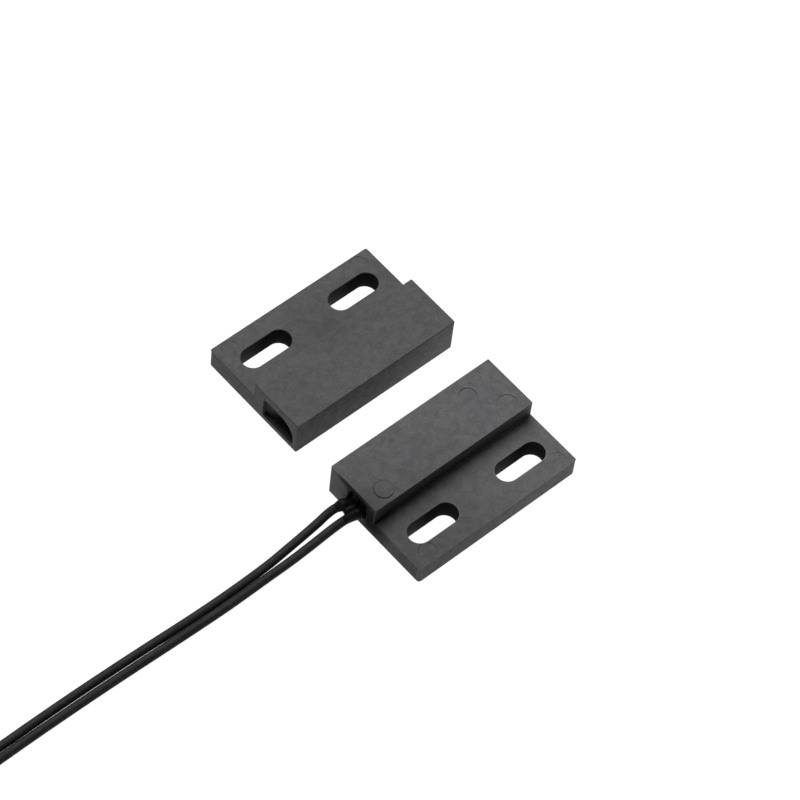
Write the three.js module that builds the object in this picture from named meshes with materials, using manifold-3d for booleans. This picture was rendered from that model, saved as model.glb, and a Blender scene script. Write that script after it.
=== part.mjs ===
// Flange-mount magnetic door contact: a switch half with two leads, and a magnet half.
// Millimetres, +Z up. X runs along the housings, +Y points from the switch half to the magnet half.
// The origin is the middle of the switch half's underside.
import * as THREE from 'three';
import { mergeVertices } from 'three/addons/utils/BufferGeometryUtils.js';
import Module from 'manifold-3d';

const wasm = await Module();
wasm.setup();

// ---- Housings, both halves -------------------------------------------------------------------
const LENGTH = 28.6;              // along X
const WIDTH = 18.8;               // flange and block together, along Y
const HEIGHT = 6.3;               // underside to the block's top
const FLANGE_HEIGHT = 3.4;
const BLOCK_WIDTH = 9.3;
const CORNER = 0.25;              // radius of the block's vertical corners
const FLANGE_CORNER = 0.6;        // the same at the flange's outer edge
const END = LENGTH / 2;
const SIDE = WIDTH / 2;
const SLOT_LENGTH = 8.3;
const SLOT_WIDTH = 3.45;
const SLOT_PITCH = 15.9;
const SLOT_Y = SIDE - 4.67;       // from the housing's middle to the slots' middle line
const MAGNET_OFFSET = [0.5, 26.3];

// ---- Pockets in their half's own frame; end is the closed end's x, upper has the upper corners' radii
const SWITCH_POCKET = { y0: 1.75, y1: 5.75, z0: 1.2, z1: 5.6, end: 12.9, upper: [0.5, 1.3] };
const MAGNET_POCKET = { y0: -8.55, y1: -2.2, z0: 1.0, z1: 4.8, end: 12.5, upper: [2.6, 0.5] };
const POCKET_CORNER = 0.5;        // the lower corners' radius
const FILL_GAP = 0.05;            // between a filling and the pocket's walls
const SWITCH_FILL_FRONT = -13.4;
const MAGNET_FILL_BACK = -8.4;
const MAGNET_FILL_SLOPE = [[-10.4, -9], [-14.4, -1]];   // two points (x, y) of the sloping face
const MAGNET_FILL_FRONT = -13.7;  // the slope is cut off here

// ---- Reed switch -------------------------------------------------------------------------------
const REED_Y = 3.75;
const REED_Z = 3.75;
const REED_MIDDLE = 1.0;
const GLASS_LENGTH = 12;
const GLASS_R = 1.1;
const CAVITY_R = 0.75;
const SEAL_LENGTH = 1.6;
const SEAL_BORE_R = 0.35;
const SLEEVE_LENGTH = 11.2;
const SLEEVE_IN_R = 1.2;
const SLEEVE_OUT_R = 1.45;
const SHANK_R = 0.25;
const BLADE_THICK = 0.18;
const BLADE_WIDTH = 1.0;
const BLADE_OVERLAP = 1.2;
const PAD_THICK = 0.05;
const PAD_LIFT = 0.01;            // between a pad and its blade
const CONTACT_GAP = 0.2;
const JOINT_GAP = 0.3;            // between pieces that meet end to end

// ---- Splices and inner wires -------------------------------------------------------------------
const SPLICE_IN_R = 0.37;
const SPLICE_OUT_R = 0.58;
const SPLICE_LENGTH = 1.9;
const WIRE_R = 0.25;
const RETURN_Y = 4.8;
const RETURN_Z = 2.0;
const RETURN_SLEEVE_R = 0.45;
const CLEARANCE = 0.12;           // around everything that lies in the potting

// ---- Leads -------------------------------------------------------------------------------------
const LEAD_DIAMETER = 1.3;
const LEAD_R = LEAD_DIAMETER / 2;
const LEAD_STEP = 2.4 * LEAD_DIAMETER;
const LEAD_SIDES = 8;
const TIP_R = 0.28;
const TIP_GAP_PHASE = 0.05;       // radians round the coil, between insulation and tip
const TIP_PHASE = 0.8;            // radians round the coil, the tip's own length
const LEAD_START = -10.5;
const LEAD_A_EXIT = [4.6, 2.3];   // y and z in the potting's face
const LEAD_B_EXIT = [2.95, 2.3];
const COIL_CENTRE = [-84, 13.1];
const COIL_IN_R = 4.8;            // to the middle of the innermost turn
const COIL_PITCH = 1.4;           // between neighbouring turns
const COIL_TURNS_PER_LAYER = 1.5;
const COIL_LAYERS = 3;
const COIL_LAYER_RISE = 1.3;
const COIL_FIRST_Z = 0.875;
const COIL_STEP_ANGLE = Math.PI / 3;
const TIE_ANGLE = 210 * Math.PI / 180;
const TIE_WIDTH = 2.4;
const TIE_THICK = 0.2;
const TWIST_LENGTH = 5.5;         // the tie's twisted ends stand out from the coil
const TWIST_SIZE = 2;

// ---- Solids ------------------------------------------------------------------------------------
function solid(geometry) {
  const plain = geometry.clone();
  plain.deleteAttribute('normal');
  plain.deleteAttribute('uv');
  const merged = mergeVertices(plain, 1e-4);
  return new wasm.Manifold(new wasm.Mesh({
    numProp: 3,
    vertProperties: new Float32Array(merged.attributes.position.array),
    triVerts: new Uint32Array(merged.index.array),
  }));
}

function geometryOf(manifold) {
  const mesh = manifold.getMesh();
  const geometry = new THREE.BufferGeometry();
  geometry.setAttribute('position', new THREE.BufferAttribute(new Float32Array(mesh.vertProperties), 3));
  geometry.setIndex(new THREE.BufferAttribute(new Uint32Array(mesh.triVerts), 1));
  return geometry;
}

function subtractAll(geometry, cutters) {
  let body = solid(geometry);
  for (const cutter of cutters) body = body.subtract(solid(cutter));
  return geometryOf(body);
}

function box(x0, x1, y0, y1, z0, z1) {
  return new THREE.BoxGeometry(x1 - x0, y1 - y0, z1 - z0)
    .translate((x0 + x1) / 2, (y0 + y1) / 2, (z0 + z1) / 2);
}

// r is the radius at b0; upper has the radii at (a0, b1) and (a1, b1).
function roundedRectangle(a0, a1, b0, b1, r, upper = [r, r]) {
  const [left, right] = upper;
  const shape = new THREE.Shape();
  shape.moveTo(a0 + r, b0);
  shape.lineTo(a1 - r, b0);
  shape.absarc(a1 - r, b0 + r, r, -Math.PI / 2, 0);
  shape.lineTo(a1, b1 - right);
  shape.absarc(a1 - right, b1 - right, right, 0, Math.PI / 2);
  shape.lineTo(a0 + left, b1);
  shape.absarc(a0 + left, b1 - left, left, Math.PI / 2, Math.PI);
  shape.lineTo(a0, b0 + r);
  shape.absarc(a0 + r, b0 + r, r, Math.PI, 1.5 * Math.PI);
  return shape;
}

function stadium(middleX, middleY, length, width) {
  const r = width / 2;
  const reach = length / 2 - r;
  const shape = new THREE.Shape();
  shape.moveTo(middleX - reach, middleY - r);
  shape.lineTo(middleX + reach, middleY - r);
  shape.absarc(middleX + reach, middleY, r, -Math.PI / 2, Math.PI / 2);
  shape.lineTo(middleX - reach, middleY + r);
  shape.absarc(middleX - reach, middleY, r, Math.PI / 2, 1.5 * Math.PI);
  return shape;
}

function upright(shape, z0, z1, curveSegments = 5) {
  return new THREE.ExtrudeGeometry(shape, { depth: z1 - z0, bevelEnabled: false, curveSegments })
    .translate(0, 0, z0);
}

// A section drawn in (y, z), drawn out along X.
function alongX(shape, x0, x1, curveSegments = 3) {
  const turn = new THREE.Matrix4().makeBasis(
    new THREE.Vector3(0, 1, 0), new THREE.Vector3(0, 0, 1), new THREE.Vector3(1, 0, 0));
  return new THREE.ExtrudeGeometry(shape, { depth: x1 - x0, bevelEnabled: false, curveSegments })
    .applyMatrix4(turn).translate(x0, 0, 0);
}

function rod(r, x0, x1, y, z, sides = 16) {
  return new THREE.CylinderGeometry(r, r, x1 - x0, sides).rotateZ(-Math.PI / 2)
    .translate((x0 + x1) / 2, y, z);
}

// A body turned about a line along X, from a closed profile of [x, radius] pairs.
function turned(profile, y, z, sides = 20) {
  const points = profile.map(([x, r]) => new THREE.Vector2(r, x));
  return new THREE.LatheGeometry(points, sides).rotateZ(-Math.PI / 2).translate(0, y, z);
}

function tubeRing(rIn, rOut, x0, x1, y, z, sides = 20) {
  return turned([[x0, rIn], [x0, rOut], [x1, rOut], [x1, rIn], [x0, rIn]], y, z, sides);
}

function wire(points, r, steps, sides = LEAD_SIDES) {
  const curve = new THREE.CatmullRomCurve3(points.map((p) => new THREE.Vector3(...p)), false, 'centripetal');
  curve.arcLengthDivisions = 1200;
  const section = new THREE.Shape();
  for (let i = 0; i < sides; i++) {
    const angle = (2 * Math.PI * (i + 0.5)) / sides;
    if (i === 0) section.moveTo(r * Math.cos(angle), r * Math.sin(angle));
    else section.lineTo(r * Math.cos(angle), r * Math.sin(angle));
  }
  return new THREE.ExtrudeGeometry(section, { steps, bevelEnabled: false, extrudePath: curve });
}

// ---- Housings: side is +1 where the block lies towards +Y, -1 where it lies towards -Y ---------
function housing(side, pocket) {
  const [lower, upper] = side > 0 ? [FLANGE_CORNER, CORNER] : [CORNER, FLANGE_CORNER];
  const flange = upright(
    roundedRectangle(-END, END, -SIDE, SIDE, lower, [upper, upper]), 0, FLANGE_HEIGHT);
  const blockInner = side * (SIDE - BLOCK_WIDTH);
  const low = Math.min(blockInner, side * SIDE);
  const high = Math.max(blockInner, side * SIDE);
  const block = upright(roundedRectangle(-END, END, low, high, CORNER), 0, HEIGHT);
  const slots = [-1, 1].map((end) => upright(
    stadium(end * SLOT_PITCH / 2, -side * SLOT_Y, SLOT_LENGTH, SLOT_WIDTH), -1, HEIGHT, 6));
  const hollow = alongX(pocketSection(pocket, 0), -END - 1, pocket.end);
  const body = solid(flange).add(solid(block)).subtract(solid(hollow));
  return geometryOf(slots.reduce((left, slot) => left.subtract(solid(slot)), body));
}

function pocketSection(pocket, gap) {
  return roundedRectangle(
    pocket.y0 + gap, pocket.y1 - gap, pocket.z0 + gap, pocket.z1 - gap,
    POCKET_CORNER - gap, pocket.upper.map((radius) => radius - gap));
}

// ---- Reed capsule ------------------------------------------------------------------------------
const glassLow = REED_MIDDLE - GLASS_LENGTH / 2;
const glassHigh = REED_MIDDLE + GLASS_LENGTH / 2;

function reedCapsule() {
  const shoulder = 0.6;
  const profile = [
    [glassLow, SEAL_BORE_R], [glassLow, 0.7], [glassLow + 0.25, 0.95], [glassLow + shoulder, GLASS_R],
    [glassHigh - shoulder, GLASS_R], [glassHigh - 0.25, 0.95], [glassHigh, 0.7], [glassHigh, SEAL_BORE_R],
    [glassHigh - SEAL_LENGTH, SEAL_BORE_R], [glassHigh - SEAL_LENGTH - 0.2, CAVITY_R],
    [glassLow + SEAL_LENGTH + 0.2, CAVITY_R], [glassLow + SEAL_LENGTH, SEAL_BORE_R],
    [glassLow, SEAL_BORE_R],
  ];
  return turned(profile, REED_Y, REED_Z);
}

function bufferSleeve() {
  const half = SLEEVE_LENGTH / 2;
  return tubeRing(SLEEVE_IN_R, SLEEVE_OUT_R, REED_MIDDLE - half, REED_MIDDLE + half, REED_Y, REED_Z);
}

// end is -1 for the near reed, towards the leads, and +1 for the far one.
const bladeRoot = (end) => REED_MIDDLE + end * (GLASS_LENGTH / 2 - SEAL_LENGTH - 0.3);
const bladeTip = (end) => REED_MIDDLE - end * BLADE_OVERLAP / 2;
const innerFace = (end) => REED_Z + end * (CONTACT_GAP / 2 + PAD_THICK + PAD_LIFT);

function reedBlade(end) {
  const xs = [bladeRoot(end), bladeTip(end)].sort((a, b) => a - b);
  const zs = [innerFace(end), innerFace(end) + end * BLADE_THICK].sort((a, b) => a - b);
  return box(xs[0], xs[1], REED_Y - BLADE_WIDTH / 2, REED_Y + BLADE_WIDTH / 2, zs[0], zs[1]);
}

function contactPad(end) {
  const zs = [REED_Z + end * CONTACT_GAP / 2, REED_Z + end * (CONTACT_GAP / 2 + PAD_THICK)];
  zs.sort((a, b) => a - b);
  const half = BLADE_OVERLAP / 2;
  const reach = BLADE_WIDTH / 2 - 0.1;
  return box(REED_MIDDLE - half, REED_MIDDLE + half, REED_Y - reach, REED_Y + reach, zs[0], zs[1]);
}

const shankOuter = { near: glassLow - 2.0, far: glassHigh + 2.0 };
const shankInner = { near: bladeRoot(-1) - JOINT_GAP, far: bladeRoot(1) + JOINT_GAP };

// ---- Splices and inner wires, as builders that a clearance can thicken -------------------------
const spliceNear = [shankOuter.near - 1.1, shankOuter.near - 1.1 + SPLICE_LENGTH];
const spliceFar = [shankOuter.far + 1.1 - SPLICE_LENGTH, shankOuter.far + 1.1];
const spliceReturn = [-9.4, -9.4 + SPLICE_LENGTH];
const returnStart = spliceReturn[0] + 1.1;
const conductorStart = LEAD_START + JOINT_GAP;

function returnWirePath() {
  const bendX = 10.3;
  const low = new THREE.Vector3(bendX, RETURN_Y, RETURN_Z);
  const high = new THREE.Vector3(bendX, REED_Y, REED_Z);
  const middle = low.clone().add(high).multiplyScalar(0.5);
  const radius = low.distanceTo(high) / 2;
  const across = low.clone().sub(high).normalize();
  const points = [returnStart, -6, -2, 2, 6, 9].map((x) => [x, RETURN_Y, RETURN_Z]);
  const bendPoints = 7;
  for (let i = 0; i < bendPoints; i++) {
    const angle = (Math.PI * i) / (bendPoints - 1);
    const offset = across.clone().multiplyScalar(radius * Math.cos(angle));
    points.push([bendX + radius * Math.sin(angle), middle.y + offset.y, middle.z + offset.z]);
  }
  points.push([shankOuter.far + JOINT_GAP, REED_Y, REED_Z]);
  return points;
}

function conductorAPath(start) {
  return [
    [start, ...LEAD_A_EXIT], [-9.9, 4.66, 2.2], [-9.4, 4.76, 2.05],
    [-9.0, RETURN_Y, RETURN_Z], [returnStart - JOINT_GAP, RETURN_Y, RETURN_Z],
  ];
}

function conductorBPath(start) {
  return [
    [start, ...LEAD_B_EXIT], [-9.6, 3.0, 2.42], [-8.9, 3.35, 3.05],
    [-8.3, 3.68, 3.62], [-7.8, REED_Y, REED_Z], [shankOuter.near - JOINT_GAP, REED_Y, REED_Z],
  ];
}

const inner = {
  returnWire: (grow) => wire(returnWirePath(), WIRE_R + grow, 54),
  conductorA: (grow) => wire(conductorAPath(conductorStart - grow), WIRE_R + grow, 10),
  conductorB: (grow) => wire(conductorBPath(conductorStart - grow), WIRE_R + grow, 14),
};

function switchPotting() {
  const { end } = SWITCH_POCKET;
  const block = alongX(pocketSection(SWITCH_POCKET, FILL_GAP), SWITCH_FILL_FRONT, end - FILL_GAP);
  const c = CLEARANCE;
  const half = SLEEVE_LENGTH / 2;
  const spliceHole = ([x0, x1], y, z) => rod(SPLICE_OUT_R + c, x0 - c, x1 + c, y, z, 12);
  const leadHole = ([[x, y, z], ...rest]) => wire([[x + c, y, z], ...rest.slice(0, 5)], LEAD_R + c, 12, 12);
  return subtractAll(block, [
    leadHole(LEAD_A_ROUTE),
    leadHole(LEAD_B_ROUTE),
    rod(SLEEVE_OUT_R + c, REED_MIDDLE - half - c, REED_MIDDLE + half + c, REED_Y, REED_Z, 20),
    rod(GLASS_R + c, glassLow - c, glassHigh + c, REED_Y, REED_Z, 20),
    rod(SHANK_R + c, spliceNear[1], spliceFar[0], REED_Y, REED_Z, 12),
    spliceHole(spliceNear, REED_Y, REED_Z),
    spliceHole(spliceFar, REED_Y, REED_Z),
    spliceHole(spliceReturn, RETURN_Y, RETURN_Z),
    rod(RETURN_SLEEVE_R + c, spliceReturn[1], 9.6, RETURN_Y, RETURN_Z, 12),
    inner.returnWire(c),
    inner.conductorA(c),
    inner.conductorB(c),
  ]);
}

// ---- Magnet half -------------------------------------------------------------------------------
function barMagnet() {
  const length = 20;
  const width = 5.2;
  const height = 3.1;
  const y = MAGNET_POCKET.y1 - 0.3 - width / 2;
  const x1 = MAGNET_POCKET.end - 0.1;
  const z0 = MAGNET_POCKET.z0 + 0.1;
  const section = new THREE.Shape();
  const chamfer = 0.3;
  const half = width / 2;
  const outline = [
    [-half + chamfer, 0], [half - chamfer, 0], [half, chamfer], [half, height - chamfer],
    [half - chamfer, height], [-half + chamfer, height], [-half, height - chamfer], [-half, chamfer],
  ];
  outline.forEach(([a, b], i) => (i ? section.lineTo(y + a, z0 + b) : section.moveTo(y + a, z0 + b)));
  return alongX(section, x1 - length, x1);
}

// The filling's face slopes: it stands nearer the mouth on the flange side, as it set on a tilt.
function magnetPotting() {
  const block = alongX(pocketSection(MAGNET_POCKET, FILL_GAP), MAGNET_FILL_FRONT, MAGNET_FILL_BACK);
  const [low, high] = MAGNET_FILL_SLOPE;
  const outside = -END - 1;
  const slope = new THREE.Shape();
  slope.moveTo(outside, low[1]);
  slope.lineTo(...low);
  slope.lineTo(...high);
  slope.lineTo(outside, high[1]);
  slope.closePath();
  return subtractAll(block, [upright(slope, 0, HEIGHT)]);
}

// ---- Leads and their coil ----------------------------------------------------------------------
const LEAD_A_ROUTE = [
  [LEAD_START, ...LEAD_A_EXIT], [-11.6, 4.6, 2.3], [-12.6, 4.62, 2.3], [-13.5, 4.78, 2.32],
  [-14.4, 5.12, 2.32], [-15.2, 5.52, 2.2], [-16.2, 5.88, 1.82], [-17.4, 6.06, 1.32],
  [-18.9, 5.99, 0.92], [-20.7, 5.86, 0.7], [-24.4, 5.5, 0.66], [-28.1, 5.16, 0.66],
  [-31.7, 5.01, 0.66], [-35.2, 4.95, 0.66], [-38.6, 4.95, 0.66], [-44, 5.08, 0.66],
  [-50, 5.3, 0.66], [-56, 5.46, 0.66], [-62, 5.56, 0.66], [-68, 5.58, 0.66],
  [-73, 5.54, 0.68], [-76.6, 5.51, 0.78],
];
const LEAD_B_ROUTE = [
  [LEAD_START, ...LEAD_B_EXIT], [-11.6, 2.95, 2.3], [-12.6, 2.96, 2.3], [-13.5, 3.04, 2.28],
  [-14.4, 3.26, 2.12], [-15.4, 3.62, 1.72], [-16.4, 3.9, 1.25], [-17.5, 4.06, 0.86],
  [-18.9, 4.07, 0.68], [-22.2, 3.87, 0.66], [-25.9, 3.7, 0.66], [-29.4, 3.66, 0.66],
  [-33, 3.6, 0.66], [-36.5, 3.56, 0.66], [-40, 3.6, 0.66], [-46, 3.74, 0.66],
  [-52, 3.92, 0.66], [-58, 4.06, 0.66], [-64, 4.14, 0.66], [-70, 4.16, 0.66],
  [-74.5, 4.12, 0.69], [-78.4, 4.1, 0.78],
];

function routeLength(points) {
  let length = 0;
  for (let i = 1; i < points.length; i++) {
    length += Math.hypot(...points[i].map((v, k) => v - points[i - 1][k]));
  }
  return length;
}

function lead(route) {
  return wire(route, LEAD_R - 0.02, Math.round(routeLength(route) / LEAD_STEP));
}

const coilOutR = COIL_IN_R + 2 * COIL_PITCH * COIL_TURNS_PER_LAYER;
const endZ = COIL_FIRST_Z + COIL_LAYERS * COIL_LAYER_RISE;
const endPhase = COIL_LAYERS * (2 * Math.PI * COIL_TURNS_PER_LAYER + COIL_STEP_ANGLE);

// A loose end lies on the coil and spirals outwards; phase counts from where the pair meets the coil.
function endPath(startPhase, phaseFrom, phaseTo, count) {
  const points = [];
  for (let i = 0; i < count; i++) {
    const phase = phaseFrom + ((phaseTo - phaseFrom) * i) / (count - 1);
    const r = COIL_IN_R + (COIL_PITCH * (phase - endPhase)) / Math.PI;
    const angle = -Math.PI / 2 - (phase - startPhase);
    points.push([COIL_CENTRE[0] + r * Math.cos(angle), COIL_CENTRE[1] + r * Math.sin(angle), endZ + 0.1]);
  }
  return points;
}

function tip(startPhase, leadEnd) {
  const from = leadEnd + TIP_GAP_PHASE;
  return wire(endPath(startPhase, from, from + TIP_PHASE, 6), TIP_R, 5);
}

function leadCoil() {
  const low = COIL_IN_R - LEAD_R;
  const high = coilOutR + LEAD_R;
  const z0 = TIE_THICK + 0.1;
  const z1 = COIL_FIRST_Z + (COIL_LAYERS - 1) * COIL_LAYER_RISE + LEAD_R - 0.15;
  const cut = 0.5;
  const profile = [
    [low + cut, z0], [high - cut, z0], [high, z0 + cut], [high, z1 - cut],
    [high - cut, z1], [low + cut, z1], [low, z1 - cut], [low, z0 + cut], [low + cut, z0],
  ].map(([r, z]) => new THREE.Vector2(r, z));
  return new THREE.LatheGeometry(profile, 40).rotateX(Math.PI / 2).translate(...COIL_CENTRE, 0);
}

function coilTie() {
  const low = COIL_IN_R - LEAD_R - 0.3;
  const high = coilOutR + LEAD_R + 0.3;
  const top = endZ + LEAD_R + 0.25;
  const r = 0.9;
  const outline = roundedRectangle(low - TIE_THICK, high + TIE_THICK, 0, top + TIE_THICK, r);
  outline.holes.push(roundedRectangle(low, high, TIE_THICK, top, r - TIE_THICK));
  const band = new THREE.ExtrudeGeometry(outline, { depth: TIE_WIDTH, bevelEnabled: false, curveSegments: 3 })
    .translate(0, 0, -TIE_WIDTH / 2).rotateX(Math.PI / 2);
  const half = TWIST_SIZE / 2;
  const middle = (top + TIE_THICK) / 2;
  const twist = box(high + TIE_THICK / 2, high + TWIST_LENGTH, -half, half, middle - half, middle + half);
  return geometryOf(solid(band).add(solid(twist))).rotateZ(TIE_ANGLE).translate(...COIL_CENTRE, 0);
}

// ---- The assembly ------------------------------------------------------------------------------
const MATERIALS = {
  housing: [0x2b2b2d, 0.6, 0],
  potting: [0x111112, 0.35, 0],
  glass: [0xb9d6c4, 0.1, 0],
  silicone: [0xc9c6bd, 0.6, 0],
  nickelIron: [0xb8b5ae, 0.3, 1],
  rhodium: [0xe2e2e0, 0.15, 1],
  tinned: [0xc4c4c0, 0.35, 1],
  splice: [0xcfcfcf, 0.3, 1],
  lead: [0x141415, 0.4, 0],
  magnet: [0x4b4b4e, 0.5, 1],
  tie: [0x1b1b1c, 0.5, 0],
};

function piece(name, geometry, look) {
  const [color, roughness, metalness] = MATERIALS[look];
  const mesh = new THREE.Mesh(geometry, new THREE.MeshStandardMaterial({ color, roughness, metalness }));
  mesh.name = name;
  return mesh;
}

const leadBEnd = endPhase + 2.0;
const leadAEnd = endPhase + 6.0;

const switchHalf = new THREE.Group();
switchHalf.add(
  piece('switch_housing', housing(1, SWITCH_POCKET), 'housing'),
  piece('switch_potting', switchPotting(), 'potting'),
  piece('reed_capsule', reedCapsule(), 'glass'),
  piece('buffer_sleeve', bufferSleeve(), 'silicone'),
  piece('reed_shank_near', rod(SHANK_R, shankOuter.near, shankInner.near, REED_Y, REED_Z, 12), 'nickelIron'),
  piece('reed_shank_far', rod(SHANK_R, shankInner.far, shankOuter.far, REED_Y, REED_Z, 12), 'nickelIron'),
  piece('reed_blade_near', reedBlade(-1), 'nickelIron'),
  piece('reed_blade_far', reedBlade(1), 'nickelIron'),
  piece('contact_pad_near', contactPad(-1), 'rhodium'),
  piece('contact_pad_far', contactPad(1), 'rhodium'),
  piece('splice_near', tubeRing(SPLICE_IN_R, SPLICE_OUT_R, ...spliceNear, REED_Y, REED_Z, 12), 'splice'),
  piece('splice_far', tubeRing(SPLICE_IN_R, SPLICE_OUT_R, ...spliceFar, REED_Y, REED_Z, 12), 'splice'),
  piece('splice_return', tubeRing(
    SPLICE_IN_R, SPLICE_OUT_R, ...spliceReturn, RETURN_Y, RETURN_Z, 12), 'splice'),
  piece('return_wire', inner.returnWire(0), 'tinned'),
  piece('return_sleeve', tubeRing(
    WIRE_R + 0.07, RETURN_SLEEVE_R, spliceReturn[1] + JOINT_GAP, 9.4, RETURN_Y, RETURN_Z, 12), 'lead'),
  piece('conductor_a', inner.conductorA(0), 'tinned'),
  piece('conductor_b', inner.conductorB(0), 'tinned'),
  piece('lead_a', lead(LEAD_A_ROUTE), 'lead'),
  piece('lead_b', lead(LEAD_B_ROUTE), 'lead'),
  piece('lead_coil', leadCoil(), 'lead'),
  piece('lead_a_end', wire(endPath(Math.PI, endPhase, leadAEnd, 24), LEAD_R - 0.02, 16), 'lead'),
  piece('lead_b_end', wire(endPath(0, endPhase, leadBEnd, 10), LEAD_R - 0.02, 6), 'lead'),
  piece('lead_a_tip', tip(Math.PI, leadAEnd), 'tinned'),
  piece('lead_b_tip', tip(0, leadBEnd), 'tinned'),
  piece('coil_tie', coilTie(), 'tie'),
);

const magnetHalf = new THREE.Group();
magnetHalf.position.set(...MAGNET_OFFSET, 0);
magnetHalf.add(
  piece('magnet_housing', housing(-1, MAGNET_POCKET), 'housing'),
  piece('bar_magnet', barMagnet(), 'magnet'),
  piece('magnet_potting', magnetPotting(), 'potting'),
);

const doorContact = new THREE.Group();
doorContact.add(switchHalf, magnetHalf);

export default doorContact;
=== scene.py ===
"""Looks for the door contact sensor: a switch half with two leads, and a magnet half.

Lengths in this script are in millimetres unless a name ends in _m; MM turns them into metres.
X runs along the housings, +Y points from the switch half to the magnet half, +Z is up.
"""

import math

import bmesh
import bpy
from mathutils import Matrix, Vector


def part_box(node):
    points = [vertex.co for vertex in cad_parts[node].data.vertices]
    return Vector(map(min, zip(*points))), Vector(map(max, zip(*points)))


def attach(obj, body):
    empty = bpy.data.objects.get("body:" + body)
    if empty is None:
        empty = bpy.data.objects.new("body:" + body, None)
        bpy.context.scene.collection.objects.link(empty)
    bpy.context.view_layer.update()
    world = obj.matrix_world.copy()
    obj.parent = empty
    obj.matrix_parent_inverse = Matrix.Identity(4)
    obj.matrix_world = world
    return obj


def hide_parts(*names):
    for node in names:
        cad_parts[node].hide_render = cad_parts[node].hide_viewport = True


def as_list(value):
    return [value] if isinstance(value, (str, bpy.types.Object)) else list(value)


MM = 0.001
PI = math.pi

# ---- Camera ----------------------------------------------------------------------------------------
CAMERA_AZIMUTH = -47.2172
CAMERA_ELEVATION = 55.8896
CAMERA_ROLL = 7.5946
CAMERA_DISTANCE = 492.586
CAMERA_TARGET = (0.411, 12.001, 5.725)
CAMERA_LENS = 161.81
SENSOR = 36

# ---- Housings --------------------------------------------------------------------------------------
BLOCK_WIDTH = 9.3
FLANGE_HEIGHT = 3.4
CORNER = 0.25                     # radius of the block's vertical corners
FLANGE_CORNER = 0.6               # the same at the flange's outer edge
EDGE_UNDER = {"switch_shell": 0.38, "magnet_shell": 0.22}   # radius of the edges that lie on the floor
EDGE_TOP = 0.12                   # the same of all other edges but the next
FOOT_FILLET = 0.2                 # where the block stands on the flange
WIDEST_EDGE = 0.6                 # the edge radius that a bevel weight of 1 stands for
SLOT_LENGTH = 8.3
SLOT_WIDTH = 3.45
SLOT_PITCH = 15.9
SLOT_FROM_EDGE = 4.67             # from the flange's outer edge to the slots' middle line
EDGE_SLOT = 0.12                  # radius of a slot's edges
EDGE_MOUTH = 0.12                 # the same of a pocket's mouth
# A pocket's section, with its closed end's x and its upper corners' radii, at low y first
SWITCH_POCKET = {"y": (1.75, 5.75), "z": (1.2, 5.6), "end": 12.9, "upper": (0.5, 1.3)}
MAGNET_POCKET = {"y": (-8.55, -2.2), "z": (1.0, 4.8), "end": 12.5, "upper": (2.6, 0.5)}
POCKET_CORNER = 0.5               # the lower corners' radius
HOUSING_SLOTS = range(4)
# Slots: plain faces; rounded edges, with wear and on the switch half painted sheen; the slots' walls, in
# painted shade; the faces along one direction, a copy with painted light
PLAIN, EDGE_WEAR_AND_SHEEN, DEEP_PAINTED_SHADE, PAINTED_LIGHT_FACE = HOUSING_SLOTS   # material slots of a housing
SHARP_ANGLE = math.radians(32)
FACING = 0.99                     # least cosine between a marked face's normal and the given direction
UNWORN_BELOW = 1                  # edges below this height are as plain as the faces
NEAR = 0.01                       # two places closer than this are the same
PAST = 1                          # how far a cutter reaches past the surface it cuts
# Shallow round marks that the mould's ejector pins leave, as (x, y, radius, depth) on a half.
# A depth below zero stands for a groove round a mark that is level with its surroundings.
SWITCH_TOP_PINS = [(-11.05, 2.15, 1.35, -0.14), (8.0, 6.6, 1.25, 0.1), (11.4, 2.2, 1.5, 0.07)]
SWITCH_FLANGE_PINS = [(-11.4, -7.6, 1.3, 0.07), (12.2, -7.7, 1.2, 0.04)]
MAGNET_FLANGE_PINS = [(-11.9, 7.8, 1.3, 0.04), (11.6, 7.9, 1.3, 0.07)]
PIN_WALL = 0.03                   # how much narrower a mark is at its bottom
PIN_SLOPE = 0.4                   # width of a groove's outer, sloping side
PIN_SIDES = 48
GROOVE_SIDES = 64

# ---- Fillings --------------------------------------------------------------------------------------
FILL_RINGS = 26
FILL_STEP = 0.2                   # between points of a filling's rim
FILL_GAP = 0.004                  # between a filling and the pocket's walls
WALL_CLIMB = 0.42                 # how far the resin climbs a wall
WALL_FADE = 0.22                  # from the wall to where a third of that is left
LEAD_FADE = 0.3                   # the same from a lead
SWITCH_FILL_FACE = -13.42
SWITCH_FILL_THICK = 0.015
SWITCH_COLLARS = [(5.1, 2.3, 0.9), (3.22, 2.15, 0.9), (2.3, 1.5, 0.95)]   # y, z and how far the resin climbs
# Radii of the resin round lead A, round lead B and between them, in lead radii, from COLLAR_FROM on
COLLAR_A = [1.0, 1.12, 1.42, 0.95]
COLLAR_B = [1.2, 1.36, 1.14, 0.95]
COLLAR_WEB = [0.9, 1.05, 1.0, 0.5]
COLLAR_FROM = 3                   # the first of the route's points that the resin covers
WEB_END = 0.4                     # share of the last stretch that the resin between the leads fills
MAGNET_FILL_BACK = -8.4
MAGNET_SLOPE = ((-10.4, -9.0), (-14.4, -1.0))   # two points (x, y) of the sloping face
MAGNET_FILL_FRONT = -13.25

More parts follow.
